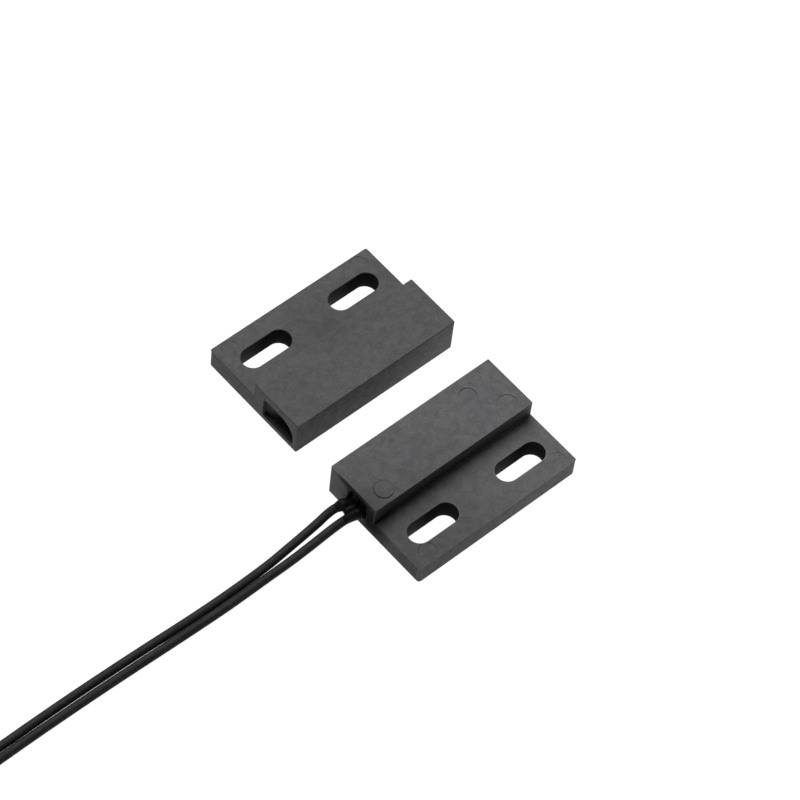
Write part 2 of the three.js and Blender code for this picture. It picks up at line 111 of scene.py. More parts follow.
# ---- Leads -----------------------------------------------------------------------------------------
LEAD_DIAMETER = 1.3
LEAD_START = -10.5
LEAD_A_EXIT = (4.6, 2.3)
LEAD_B_EXIT = (2.95, 2.3)
LEAD_A_ROUTE = [
    (LEAD_START, *LEAD_A_EXIT), (-11.6, 4.6, 2.3), (-12.6, 4.62, 2.3), (-13.5, 4.78, 2.32),
    (-14.4, 5.12, 2.32), (-15.2, 5.52, 2.2), (-16.2, 5.88, 1.82), (-17.4, 6.06, 1.32),
    (-18.9, 5.99, 0.92), (-20.7, 5.86, 0.7), (-24.4, 5.5, 0.66), (-28.1, 5.16, 0.66),
    (-31.7, 5.01, 0.66), (-35.2, 4.95, 0.66), (-38.6, 4.95, 0.66), (-44, 5.08, 0.66),
    (-50, 5.3, 0.66), (-56, 5.46, 0.66), (-62, 5.56, 0.66), (-68, 5.58, 0.66),
    (-73, 5.54, 0.68), (-76.6, 5.51, 0.78), (-80.5, 5.5, 0.86),
]
LEAD_B_ROUTE = [
    (LEAD_START, *LEAD_B_EXIT), (-11.6, 2.95, 2.3), (-12.6, 2.96, 2.3), (-13.5, 3.04, 2.28),
    (-14.4, 3.26, 2.12), (-15.4, 3.62, 1.72), (-16.4, 3.9, 1.25), (-17.5, 4.06, 0.86),
    (-18.9, 4.07, 0.68), (-22.2, 3.87, 0.66), (-25.9, 3.7, 0.66), (-29.4, 3.66, 0.66),
    (-33, 3.6, 0.66), (-36.5, 3.56, 0.66), (-40, 3.6, 0.66), (-46, 3.74, 0.66),
    (-52, 3.92, 0.66), (-58, 4.06, 0.66), (-64, 4.14, 0.66), (-70, 4.16, 0.66),
    (-74.5, 4.12, 0.69), (-78.4, 4.1, 0.78), (-81.5, 4.1, 0.86),
]

# ---- Coil of the spare lead: both leads wound side by side in three layers -------------------------
COIL_CENTRE = (-84, 13.1)
COIL_IN_R = 4.8
COIL_PITCH = 1.4
COIL_TURNS = 1.5                  # in each layer
COIL_LAYERS = 3
COIL_RISE = 1.3
COIL_FIRST_Z = 0.875
COIL_STEP = PI / 3                # turned through while climbing to the next layer
COIL_POINT = PI / 14              # between two points of a lead's curve
LAYER_SPIRAL = 2 * PI * COIL_TURNS
LAYER_SPAN = LAYER_SPIRAL + COIL_STEP
COIL_OUT_R = COIL_IN_R + 2 * COIL_PITCH * COIL_TURNS
COIL_END_PHASE = COIL_LAYERS * LAYER_SPAN
COIL_END_Z = COIL_FIRST_Z + COIL_LAYERS * COIL_RISE
LEAD_A_END = COIL_END_PHASE + 6.0
LEAD_B_END = COIL_END_PHASE + 2.0
TIP_START_PHASE = 0.02            # after the end of the insulation
TIP_LENGTH_PHASE = 0.8
TIP_R = 0.28
TIP_STEPS = 26
TIP_TWIST = 0.22                  # turned through in each step
STRANDS = 7
STRAND_SIDES = 6
TIE_ANGLE = math.radians(210)
TIE_WIDTH = 2.3
TIE_THICK = 0.16
TIE_CORE = 0.16                   # how far the tie's wire stands up from its strip
TIE_CORE_HALF = 0.32              # half the wire's width
TIE_GAP = 0.3                     # between the coil's side and the tie
TIE_TOP_GAP = 0.25                # the same above the coil
TIE_LOW = 0.2                     # height of the tie's underside
TIE_CORNER = 0.7
TWIST_REACH = (10.1, 15.3)        # from the coil's middle, of the tie's two twisted ends
TWIST_TURNS = 3.5
TWIST_STEPS = 48
TWIST_STRIP = [(-0.55, -0.12), (0.55, -0.12), (0.55, 0.12), (0.2, 0.26), (-0.2, 0.26), (-0.55, 0.12)]
TWIST_OPEN = (0.3, 0.42)          # from the twist's axis to a strip, at its start and its end
CURVE_SIDES = 6                   # bevel_resolution of leads and collars

# ---- The plastics' tints, as what is added to a grey -------------------------------------------------
SWITCH_COOL = {"blue": 0.008, "red": 0.003}
SWITCH_WARM = {"green": 0.002, "blue": 0.001}
MAGNET_WARM = {"green": 0.001}

# ---- Where the plastic is darker, as (centre, reach, strength): painted shade, and resin film near the mouth ---
# Painted shade: the switch half darker towards its -X end and its flange's outer side, where less light
# falls
SWITCH_SHADE = ((-16.0, -8.0, 2.0), 24, 0.42)
# The plain faces of the switch half: that painted shade, and resin film round the mouth
SWITCH_SHADE_AND_FILM = [SWITCH_SHADE, ((-14.6, 1.6, 4.2), 4.4, 0.5), ((-14.4, 2.4, 0.5), 2.8, 0.8)]
# Resin film on the end face, over the mouth and beside it; the last two only make the face darker along its
# top edge towards the corner
END_FILM_AND_DARK_BAND = [
    ((-14.3, 3.4, 5.7), 3.4, 0.95), ((-14.3, 1.0, 3.2), 4.6, 1.0), ((-14.3, 5.6, 6.4), 2.0, 0.8),
    ((-14.3, 7.2, 6.6), 1.5, 0.55),
]
# The end face: painted shade over all of it, with the resin film
SWITCH_END_SHADE_AND_FILM = [((-14.3, -8.0, 2.0), 24, 0.4), *END_FILM_AND_DARK_BAND]
# The edges: the painted shade towards the -X end, with the resin film
SWITCH_EDGE_SHADE_AND_FILM = [SWITCH_SHADE, *END_FILM_AND_DARK_BAND]
# Darker round the magnet half's flange middle, by the block's foot
MAGNET_FLANGE_DARKENING = [((0, 28.6, 3.4), 7, 0.17)]
# Painted shade: the magnet half's front face darker towards -X, where the switch half screens it from the
# light
MAGNET_FRONT_SHADE = [((-7, 17, 3), 20, 0.6)]
# Painted shade on the slots' walls:
SLOT_SHADE = (2.0, 6.0, 0.93)     # centre's distance from the slot's middle, towards +X, and the other two

# ---- Floor and light -------------------------------------------------------------------------------
FLOOR_HALF = 3000
FLOOR_Z = -0.02                   # just under the object
FLOOR_GLOW = 1.0
KEY_PLACE_M = (0.20, 0.42, 0.80)
KEY_AIM_M = (0, 0.01, 0)
KEY_SIZE_M = (0.8, 0.8)
KEY_POWER = 13
WORLD_COLOUR = (0.9, 0.95, 1.0, 1)
WORLD_STRENGTH = 0.05


# ---- Materials -------------------------------------------------------------------------------------
class Nodes:
    """A material's node tree, with short calls to add and join nodes."""

    def __init__(self, name):
        self.material = bpy.data.materials.new(name)
        self.material.use_nodes = True
        self.tree = self.material.node_tree
        self.shader = self.tree.nodes["Principled BSDF"]
        coordinates = self.tree.nodes.new("ShaderNodeTexCoord")
        scale = self.tree.nodes.new("ShaderNodeVectorMath")
        scale.operation = "SCALE"
        scale.inputs["Scale"].default_value = 1 / MM
        self.join(coordinates.outputs["Object"], scale.inputs[0])
        self.place = scale.outputs[0]

    def join(self, output, socket):
        self.tree.links.new(output, socket)

    def feed(self, value, socket):
        """Gives a socket a constant, or joins another node's output to it."""
        if isinstance(value, bpy.types.NodeSocket):
            self.join(value, socket)
        else:
            socket.default_value = value

    def set(self, **values):
        """Constants on the shader's own sockets; a name's underscores stand for spaces."""
        for name, value in values.items():
            self.shader.inputs[name.replace("_", " ")].default_value = value

    def noise(self, size, detail=4, roughness=0.55, stretch=None, distortion=0.0):
        """Noise whose features are about size millimetres across, from 0 to 1."""
        node = self.tree.nodes.new("ShaderNodeTexNoise")
        node.inputs["Scale"].default_value = 1 / size
        node.inputs["Detail"].default_value = detail
        node.inputs["Roughness"].default_value = roughness
        node.inputs["Distortion"].default_value = distortion
        place = self.place
        if stretch:
            mapping = self.tree.nodes.new("ShaderNodeMapping")
            mapping.inputs["Scale"].default_value = stretch
            self.join(place, mapping.inputs["Vector"])
            place = mapping.outputs[0]
        self.join(place, node.inputs["Vector"])
        return node.outputs["Fac"]

    def cells(self, size):
        node = self.tree.nodes.new("ShaderNodeTexVoronoi")
        node.inputs["Scale"].default_value = 1 / size
        self.join(self.place, node.inputs["Vector"])
        return node.outputs["Distance"]

    def distance(self, point):
        """How many millimetres the surface is from a point of the frame."""
        node = self.tree.nodes.new("ShaderNodeVectorMath")
        node.operation = "DISTANCE"
        self.join(self.place, node.inputs[0])
        node.inputs[1].default_value = point
        return node.outputs["Value"]

    def spread(self, value, low, high, to_low=0.0, to_high=1.0):
        """Maps low..high to to_low..to_high, and holds what lies outside."""
        node = self.tree.nodes.new("ShaderNodeMapRange")
        node.clamp = True
        limits = {"From Min": low, "From Max": high, "To Min": to_low, "To Max": to_high}
        for name, number in limits.items():
            node.inputs[name].default_value = number
        self.join(value, node.inputs["Value"])
        return node.outputs["Result"]

    def mix(self, amount, first, second):
        """Mixes two colours; each is a tuple or another node's output."""
        node = self.tree.nodes.new("ShaderNodeMix")
        node.data_type = "RGBA"
        self.feed(amount, node.inputs["Factor"])
        self.feed(first, node.inputs[6])
        self.feed(second, node.inputs[7])
        return node.outputs[2]

    def maths(self, operation, first, second):
        node = self.tree.nodes.new("ShaderNodeMath")
        node.operation = operation
        self.feed(first, node.inputs[0])
        self.feed(second, node.inputs[1])
        return node.outputs[0]

    def bumps(self, *layers):
        """Each layer is (value, depth in millimetres)."""
        normal = None
        for value, depth in layers:
            node = self.tree.nodes.new("ShaderNodeBump")
            node.inputs["Distance"].default_value = depth * MM
            node.inputs["Strength"].default_value = 1.0
            self.join(value, node.inputs["Height"])
            if normal is not None:
                self.join(normal, node.inputs["Normal"])
            normal = node.outputs["Normal"]
        self.join(normal, self.shader.inputs["Normal"])

    def colour(self, output):
        self.join(output, self.shader.inputs["Base Color"])

    def rough(self, value, low, high):
        self.join(self.spread(value, 0.3, 0.7, low, high), self.shader.inputs["Roughness"])


def grey(value, red=0.0, green=0.0, blue=0.0):
    return (value + red, value + green, value + blue, 1.0)


def moulded_plastic(name, level, cool, warm, worn=0.0, stains_and_shade=(), gloss=0.22):
    """Dark moulded plastic: cloudy with flow marks, finely eroded, with pale specks. level is its grey.
    Each darkening is (centre, reach, strength): the plastic is darker round that point; some are resin film,
    some painted shade."""
    n = Nodes(name)
    cloud = n.noise(5.0, detail=4, roughness=0.6)
    tint = n.noise(7.0, detail=3, roughness=0.5)
    mottle = n.noise(1.3, detail=5, roughness=0.7, distortion=0.5)
    grain = n.noise(0.34, detail=4, roughness=0.75)
    pits = n.cells(0.3)
    base = n.mix(n.spread(tint, 0.4, 0.62), grey(level, **cool), grey(level, **warm))
    base = n.mix(n.spread(cloud, 0.36, 0.64, 0.0, 0.42), base, grey(level * 1.35))
    base = n.mix(n.spread(mottle, 0.35, 0.65, 0.0, 0.5), base, grey(level * 0.58))
    base = n.mix(n.spread(grain, 0.4, 0.62, 0.0, 0.34), base, grey(level * 1.5))
    fine = n.spread(n.noise(0.2, detail=2), 0.63, 0.72)
    speck = n.maths("MULTIPLY", fine, n.spread(cloud, 0.4, 0.6, 0.15, 1))
    base = n.mix(speck, base, grey(level * 1.8))
    if worn:
        base = n.mix(n.spread(mottle, 0.4, 0.6, 0.0, worn), base, grey(level * 1.7))
    # Darker round each given centre, as listed: painted shade and resin film
    for centre, reach, strength in stains_and_shade:
        away = n.distance(centre)
        uneven = n.maths("ADD", away, n.spread(mottle, 0.3, 0.7, -0.5, 0.5))
        dark = n.spread(uneven, reach * 0.35, reach, strength, 0)
        base = n.mix(dark, base, grey(level * 0.12, red=level * 0.02))
    n.colour(base)
    polish = 0.1 if worn else 0.0
    n.rough(mottle, 0.5 - polish, 0.68 - polish)
    n.bumps((cloud, 0.05), (mottle, 0.035), (grain, 0.02), (pits, 0.006))
    n.set(IOR=1.45, Specular_IOR_Level=gloss)
    return n.material


def lead_insulation():
    """Black flexible insulation, satin, with faint lines drawn along it and a dusting of talc."""
    n = Nodes("lead_insulation")
    drawn = n.noise(0.25, detail=3, stretch=(0.08, 1, 1))
    dust = n.noise(0.5, detail=5, roughness=0.7)
    fine = n.noise(0.18, detail=3)
    base = n.mix(n.spread(dust, 0.35, 0.65), grey(0.012), grey(0.022, red=0.003, blue=0.001))
    base = n.mix(n.spread(fine, 0.55, 0.7, 0.0, 0.5), base, grey(0.055))
    n.colour(base)
    n.rough(drawn, 0.5, 0.62)
    n.bumps((drawn, 0.012), (dust, 0.01), (fine, 0.004))
    n.set(IOR=1.45, Specular_IOR_Level=0.12)
    return n.material


def potting_resin():
    """Black epoxy as it set: glossy, rippled, with small bubbles and a little dust."""
    n = Nodes("potting_resin")
    ripple = n.noise(1.4, detail=2, distortion=0.4)
    dust = n.noise(0.2, detail=4, roughness=0.7)
    bubbles = n.spread(n.cells(0.55), 0.0, 0.16)
    base = n.mix(n.spread(dust, 0.5, 0.8, 0.0, 0.6), grey(0.007), grey(0.02, red=0.001))
    n.colour(base)
    n.rough(dust, 0.36, 0.55)
    n.bumps((ripple, 0.14), (bubbles, 0.006), (dust, 0.002))
    n.set(IOR=1.5, Specular_IOR_Level=0.1)
    return n.material


def dusty_resin():
    """The magnet half's filling: the same resin under a matt film of dust."""
    n = Nodes("potting_resin_dusty")
    film = n.noise(0.9, detail=5, roughness=0.65)
    grains = n.noise(0.15, detail=3)
    base = n.mix(n.spread(film, 0.3, 0.65), grey(0.028), grey(0.055))
    n.colour(n.mix(n.spread(grains, 0.6, 0.75, 0.0, 0.5), base, grey(0.09)))
    n.rough(film, 0.6, 0.8)
    n.bumps((film, 0.08), (grains, 0.01))
    n.set(IOR=1.45, Specular_IOR_Level=0.2)
    return n.material


def metal(name, dark, light, rough, line_mm, stretch, depth):
    """A metal with drawn or brushed lines and slight tarnish."""
    n = Nodes(name)
    lines = n.noise(line_mm, detail=3, stretch=stretch)
    tarnish = n.noise(0.9, detail=4)
    base = n.mix(n.spread(tarnish, 0.35, 0.7), light, dark)
    n.colour(n.mix(n.spread(lines, 0.35, 0.65, 0.0, 0.35), base, dark))
    n.rough(tarnish, *rough)
    n.bumps((lines, depth), (tarnish, depth / 2))
    n.set(Metallic=1.0)
    return n.material


def capsule_glass():
    """Soft green-tinted glass of the reed capsule, with drawn lines and seal haze."""
    n = Nodes("capsule_glass")
    drawn = n.noise(0.6, detail=2, stretch=(0.1, 1, 1))
    haze = n.noise(0.8, detail=4)
    n.colour(n.mix(n.spread(haze, 0.4, 0.7), (0.72, 0.86, 0.76, 1), (0.82, 0.92, 0.85, 1)))
    n.rough(haze, 0.03, 0.1)
    n.bumps((drawn, 0.004))
    n.set(IOR=1.5, Transmission_Weight=0.9)
    return n.material


def silicone():
    """Milky soft sleeve."""
    n = Nodes("sleeve_silicone")
    cloud = n.noise(1.5, detail=4)
    skin = n.noise(0.12, detail=3)
    n.colour(n.mix(n.spread(cloud, 0.35, 0.65), (0.5, 0.48, 0.44, 1), (0.66, 0.64, 0.6, 1)))
    n.rough(cloud, 0.45, 0.62)
    n.bumps((skin, 0.006))
    n.set(IOR=1.41, Subsurface_Weight=0.25, Subsurface_Scale=0.001)
    return n.material


def tie_plastic():
    """The twist tie's thin glossy plastic, creased over its wire."""
    n = Nodes("tie_plastic")
    crease = n.noise(0.7, detail=3, distortion=0.5)
    fine = n.noise(0.1, detail=2)
    n.colour(n.mix(n.spread(crease, 0.35, 0.7), grey(0.012), grey(0.03)))
    n.rough(crease, 0.24, 0.42)
    n.bumps((crease, 0.03), (fine, 0.003))
    n.set(IOR=1.5)
    return n.material


def floor_paper():
    """A white sweep lit from below, bright enough that the object leaves no shadow on it."""
    n = Nodes("floor_paper")
    tone = n.noise(60, detail=2)
    n.colour(n.mix(n.spread(tone, 0.3, 0.7), grey(0.05), grey(0.06)))
    n.rough(tone, 0.9, 1.0)
    n.set(Specular_IOR_Level=0.0, Emission_Color=(1, 1, 1, 1), Emission_Strength=FLOOR_GLOW)
    return n.material


def slot_shade(half):
    """Painted shade: the slots' walls darker towards +X, where they lie in shade."""
    shift, reach, strength = SLOT_SHADE
    return [(half.place(x + shift, y, FLANGE_HEIGHT / 2), reach, strength) for x, y in half.slot_middles()]


def make_materials(switch, magnet):
    return {
        # Painted shade towards the -X end, and resin film round the mouth
        "switch_plastic": moulded_plastic(
            "housing_plastic_switch", 0.074, SWITCH_COOL, SWITCH_WARM, stains_and_shade=SWITCH_SHADE_AND_FILM),
        # A lighter copy of the plastic for the switch half's rounded edges: painted sheen that evens out
        # their shade, with wear
        "switch_edges": moulded_plastic(
            "housing_plastic_switch_edges_worn_painted_sheen", 0.125, SWITCH_COOL, SWITCH_WARM, worn=0.35, gloss=0.08,
            stains_and_shade=SWITCH_EDGE_SHADE_AND_FILM),
        # Near black: painted shade on the slots' walls
        "switch_slots": moulded_plastic(
            "housing_plastic_switch_slots_painted_shade", 0.1, {}, SWITCH_WARM, gloss=0.0, stains_and_shade=slot_shade(switch)),
        # A lighter copy of the plastic for the end face: painted light, with painted shade and resin film
        "switch_end": moulded_plastic(
            "housing_plastic_switch_end_painted_light", 0.152, SWITCH_COOL, SWITCH_WARM, gloss=0.0,
            stains_and_shade=SWITCH_END_SHADE_AND_FILM),
        "magnet_plastic": moulded_plastic(
            "housing_plastic_magnet", 0.067, {}, MAGNET_WARM, gloss=0.12, stains_and_shade=MAGNET_FLANGE_DARKENING),
        "magnet_edges": moulded_plastic(
            "housing_plastic_magnet_edges", 0.067, {}, MAGNET_WARM, worn=0.12, gloss=0.08),
        # Near black: painted shade on the slots' walls
        "magnet_slots": moulded_plastic(
            "housing_plastic_magnet_slots_painted_shade", 0.09, {}, MAGNET_WARM, gloss=0.0, stains_and_shade=slot_shade(magnet)),
        # A lighter copy of the magnet plastic for the front face: painted light towards +X, painted shade
        # towards -X
        "magnet_front": moulded_plastic(
            "housing_plastic_magnet_front_painted_light", 0.128, {}, MAGNET_WARM, gloss=0.1, stains_and_shade=MAGNET_FRONT_SHADE),
        "potting_resin": potting_resin(),
        "dusty_resin": dusty_resin(),
        "lead_insulation": lead_insulation(),
        "tinned_copper": metal(
            "tinned_copper", (0.5, 0.48, 0.44, 1), (0.75, 0.74, 0.7, 1),
            (0.22, 0.4), 0.2, (1, 1, 1), 0.006),
        "capsule_glass": capsule_glass(),
        "sleeve_silicone": silicone(),
        "reed_metal": metal(
            "reed_metal", (0.42, 0.4, 0.37, 1), (0.62, 0.6, 0.56, 1),
            (0.22, 0.36), 0.05, (0.05, 1, 1), 0.002),
        "contact_plating": metal(
            "contact_plating", (0.7, 0.7, 0.69, 1), (0.84, 0.84, 0.83, 1),
            (0.1, 0.22), 0.06, (1, 1, 1), 0.001),
        "splice_metal": metal(
            "splice_metal", (0.48, 0.47, 0.44, 1), (0.72, 0.71, 0.68, 1),
            (0.2, 0.38), 0.3, (1, 0.4, 0.4), 0.008),
        "magnet_alloy": metal(
            "magnet_alloy", (0.25, 0.25, 0.26, 1), (0.44, 0.44, 0.45, 1),
            (0.32, 0.5), 0.12, (0.4, 1, 1), 0.004),
        "tie_plastic": tie_plastic(),
    }


CAD_FINISHES = {
    "potting_resin": ["switch_potting"],
    "capsule_glass": ["reed_capsule"],
    "sleeve_silicone": ["buffer_sleeve"],
    "reed_metal": ["reed_shank_near", "reed_shank_far", "reed_blade_near", "reed_blade_far"],
    "contact_plating": ["contact_pad_near", "contact_pad_far"],
    "splice_metal": ["splice_near", "splice_far", "splice_return"],
    "tinned_copper": ["return_wire", "conductor_a", "conductor_b"],
    "lead_insulation": ["return_sleeve"],
    "magnet_alloy": ["bar_magnet"],
}


def finish_cad_nodes(frame, materials):
    for finish, names in CAD_FINISHES.items():
        for name in names:
            node = frame["nodes"][name]
            node.data.materials.clear()
            node.data.materials.append(materials[finish])


# ---- Making pieces ---------------------------------------------------------------------------------
def add_object(name, data, materials, smooth=True):
    obj = bpy.data.objects.new(name, data)
    bpy.context.scene.collection.objects.link(obj)
    for material in materials:
        data.materials.append(material)
    if smooth and isinstance(data, bpy.types.Mesh):
        data.polygons.foreach_set("use_smooth", [True] * len(data.polygons))
    return obj


def mesh_from(name, points, faces, materials=(), smooth=True):
    """A mesh object; points are in millimetres."""
    data = bpy.data.meshes.new(name)
    data.from_pydata([Vector(p) * MM for p in points], [], faces)
    data.validate()
    bm = bmesh.new()
    bm.from_mesh(data)
    bmesh.ops.recalc_face_normals(bm, faces=bm.faces)
    bm.to_mesh(data)
    bm.free()
    return add_object(name, data, materials, smooth)


def band_faces(rings, count, first=0, closed=False):
    """Faces between neighbouring rings of count points; closed joins the last ring to the first."""
    faces = []
    for ring in range(rings if closed else rings - 1):
        here, ahead = first + ring * count, first + (ring + 1) % rings * count
        for i in range(count):
            after = (i + 1) % count
            faces.append((here + i, here + after, ahead + after, ahead + i))
    return faces


def prism(name, outline, lift):
    """A closed solid from a flat outline; lift(point, end) gives a point at end 0 or 1."""
    count = len(outline)
    points = [lift(p, end) for end in (0, 1) for p in outline]
    faces = [tuple(range(count)), tuple(range(count, 2 * count)), *band_faces(2, count)]
    return mesh_from(name, points, faces, smooth=False)


def round_curve(name, runs, steps, material):
    """Smooth round tubes. Each run is (points, radii), and a radius is a multiple of a lead's."""
    data = bpy.data.curves.new(name, "CURVE")
    data.dimensions = "3D"
    data.bevel_depth = LEAD_DIAMETER / 2 * MM
    data.bevel_resolution = CURVE_SIDES
    data.resolution_u = steps
    data.use_fill_caps = True
    for points, radii in runs:
        spline = data.splines.new("BEZIER")
        spline.bezier_points.add(len(points) - 1)
        for bezier, point, radius in zip(spline.bezier_points, points, radii):
            bezier.co = Vector(point) * MM
            bezier.radius = radius
            bezier.handle_left_type = bezier.handle_right_type = "AUTO"
    return add_object(name, data, [material])


def between(ends, share):
    return ends[0] + (ends[1] - ends[0]) * share


def arc(centre_a, centre_b, radius, start, stop, steps):
    return [
        (centre_a + radius * math.cos(t), centre_b + radius * math.sin(t))
        for t in (start + (stop - start) * i / steps for i in range(steps + 1))
    ]


def rounded_rectangle(a, b, radius, steps=6, upper=None):
    """Rounded rectangle over a and b; upper has the radii at high b, for low a and high a."""
    left, right = upper or (radius, radius)
    corners = [(a[1], b[0], -PI / 2, radius), (a[1], b[1], 0, right),
               (a[0], b[1], PI / 2, left), (a[0], b[0], PI, radius)]
    points = []
    for x, y, start, r in corners:
        inward_x = r if x == a[0] else -r
        inward_y = r if y == b[0] else -r
        points += arc(x + inward_x, y + inward_y, r, start, start + PI / 2, steps)
    return points


def stadium(x, y, length, width, steps=18):
    reach = (length - width) / 2
    return (
        arc(x + reach, y, width / 2, -PI / 2, PI / 2, steps)
        + arc(x - reach, y, width / 2, PI / 2, 1.5 * PI, steps)
    )


def lofted_cutter(outlines, lift, bands):
    """A closed solid through outlines of equal length. bands has the slot of each band between two."""
    count = len(outlines[0])
    points = [lift(p, level) for level, outline in enumerate(outlines) for p in outline]
    faces = band_faces(len(outlines), count)
    slots = [slot for slot in bands for _ in range(count)]
    last = (len(outlines) - 1) * count
    faces += [tuple(range(count)), tuple(last + i for i in range(count))]
    slots += [bands[0], bands[-1]]
    cutter = mesh_from("cutter", points, faces, [None] * len(HOUSING_SLOTS), smooth=False)
    cutter.data.polygons.foreach_set("material_index", slots)
    return cutter


def shown(obj):
    """Replaces obj's mesh with what its modifiers make of it."""
    graph = bpy.context.evaluated_depsgraph_get()
    made = bpy.data.meshes.new_from_object(obj.evaluated_get(graph), depsgraph=graph)
    obj.modifiers.clear()
    obj.data = made
    return obj


def cut(obj, cutters):
    """Takes the cutters away from obj; the new faces keep the cutters' material slots."""
    for cutter in cutters:
        modifier = obj.modifiers.new("cut", "BOOLEAN")
        modifier.operation = "DIFFERENCE"
        modifier.solver = "EXACT"
        modifier.material_mode = "INDEX"
        modifier.object = cutter
    shown(obj)
    for cutter in cutters:
        bpy.data.objects.remove(cutter)
    return obj


# ---- Housings --------------------------------------------------------------------------------------
class Half:
    """One housing's sizes, read from its CAD node; side is +1 where the block lies towards +Y."""

    def __init__(self, node, side, pocket):
        low, high = (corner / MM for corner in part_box(node))
        self.middle = (low + high) / 2
        self.x = (high.x - low.x) / 2
        self.y = (high.y - low.y) / 2
        self.top = high.z
        self.side = side
        self.pocket = pocket

    def place(self, x, y, z):
        """A point of the frame, from one measured from the housing's middle and the floor."""
        return (x + self.middle.x, y + self.middle.y, z)

    def slot_middles(self):
        y = -self.side * (self.y - SLOT_FROM_EDGE)
        return [(end * SLOT_PITCH / 2, y) for end in (-1, 1)]


def stepped_body(name, half, materials):
    """The flange and block without their openings: rounded corners and edges, filleted foot."""
    inner = half.side * (half.y - BLOCK_WIDTH)
    outer = half.side * half.y
    section = [(-outer, 0), (outer, 0), (outer, half.top), (inner, half.top),
               (inner, FLANGE_HEIGHT), (-outer, FLANGE_HEIGHT)]
    body = prism(name, section, lambda p, end: half.place(half.x * (2 * end - 1), *p))
    for material in materials:
        body.data.materials.append(material)
    bm = bmesh.new()
    bm.from_mesh(body.data)
    weight = bm.edges.layers.float.new("bevel_weight_edge")
    for edge in bm.edges:
        first, second = (v.co / MM for v in edge.verts)
        middle = (first + second) / 2
        along = second - first
        if abs(along.z) > 1:
            radius = FLANGE_CORNER if abs(middle.y - half.middle.y + outer) < NEAR else CORNER
        elif middle.z < NEAR:
            radius = EDGE_UNDER[name]
        elif abs(middle.z - FLANGE_HEIGHT) < NEAR and abs(middle.y - half.middle.y - inner) < NEAR:
            radius = FOOT_FILLET
        else:
            radius = EDGE_TOP
        edge[weight] = radius / WIDEST_EDGE
    bm.to_mesh(body.data)
    bm.free()
    bevel = body.modifiers.new("edges", "BEVEL")
    bevel.limit_method = "WEIGHT"
    bevel.width = WIDEST_EDGE * MM
    bevel.segments = 5
    bevel.use_clamp_overlap = False
    # The rounded edges take the edge slot: wear, and on the switch half a painted sheen
    bevel.material = EDGE_WEAR_AND_SHEEN
    return shown(body)


def flare(radius, steps=4):
    """How far a rounded edge opens, as (distance from the surface, opening) from inside outwards."""
    turns = [PI / 2 * i / steps for i in range(steps + 1)]
    return [(radius * (1 - math.sin(t)), radius * (1 - math.cos(t))) for t in turns]


def slot_cutters(half):
    """Slots right through the flange, with rounded edges above and below."""
    lower = [(-PAST, EDGE_SLOT), *reversed(flare(EDGE_SLOT))]
    upper = [(FLANGE_HEIGHT - depth, opening) for depth, opening in flare(EDGE_SLOT)]
    levels = [*lower, *upper, (FLANGE_HEIGHT + PAST, EDGE_SLOT)]
    bands = [EDGE_WEAR_AND_SHEEN] * (len(levels) - 1)
    # The straight walls take the slot of painted shade
    bands[len(lower) - 1] = DEEP_PAINTED_SHADE
    for x, y in half.slot_middles():
        outlines = [
            stadium(x, y, SLOT_LENGTH + 2 * opening, SLOT_WIDTH + 2 * opening) for _, opening in levels]
        yield lofted_cutter(outlines, lambda p, level: half.place(*p, levels[level][0]), bands)


def pocket_section(pocket, grow):
    (y0, y1), (z0, z1) = pocket["y"], pocket["z"]
    upper = tuple(radius + grow for radius in pocket["upper"])
    return rounded_rectangle(
        (y0 - grow, y1 + grow), (z0 - grow, z1 + grow), POCKET_CORNER + grow, steps=10, upper=upper)


def pocket_cutter(half):
    """The pocket, open at the end the leads come from, with a rounded mouth."""
    levels = [(half.pocket["end"], 0.0)]
    levels += [(-half.x + depth, opening) for depth, opening in flare(EDGE_MOUTH)]
    levels.append((-half.x - PAST, EDGE_MOUTH))
    bands = [PLAIN] + [EDGE_WEAR_AND_SHEEN] * (len(levels) - 2)
    outlines = [pocket_section(half.pocket, opening) for _, opening in levels]
    return lofted_cutter(outlines, lambda p, level: half.place(levels[level][0], *p), bands)


def pin_cutters(half, pins, surface):
    """Each mark is a shallow disc, or a groove round a raised middle where its depth is below zero."""
    for x, y, radius, depth in pins:
        if depth > 0:
            last = PIN_SIDES - 1
            levels = [(surface - depth, radius - PIN_WALL), (surface, radius), (surface + PAST, radius)]
            outlines = [arc(x, y, r, 0, 2 * PI * last / PIN_SIDES, last) for _, r in levels]
            yield lofted_cutter(outlines, lambda p, level: half.place(*p, levels[level][0]), [PLAIN, PLAIN])
        else:
            yield groove_cutter(half, x, y, radius, -depth, surface)


def groove_cutter(half, x, y, radius, depth, surface):
    """A ring round (x, y) that is steep on its inner side and slopes up on its outer one."""
    profile = [
        (radius - PIN_WALL, surface + NEAR), (radius, surface - depth),
        (radius + PIN_SLOPE, surface + NEAR), (radius, surface + PAST)]
    points = []
    for i in range(GROOVE_SIDES):
        turn = 2 * PI * i / GROOVE_SIDES
        points += [half.place(x + r * math.cos(turn), y + r * math.sin(turn), z) for r, z in profile]
    return mesh_from("cutter", points, band_faces(GROOVE_SIDES, len(profile), closed=True), smooth=False)


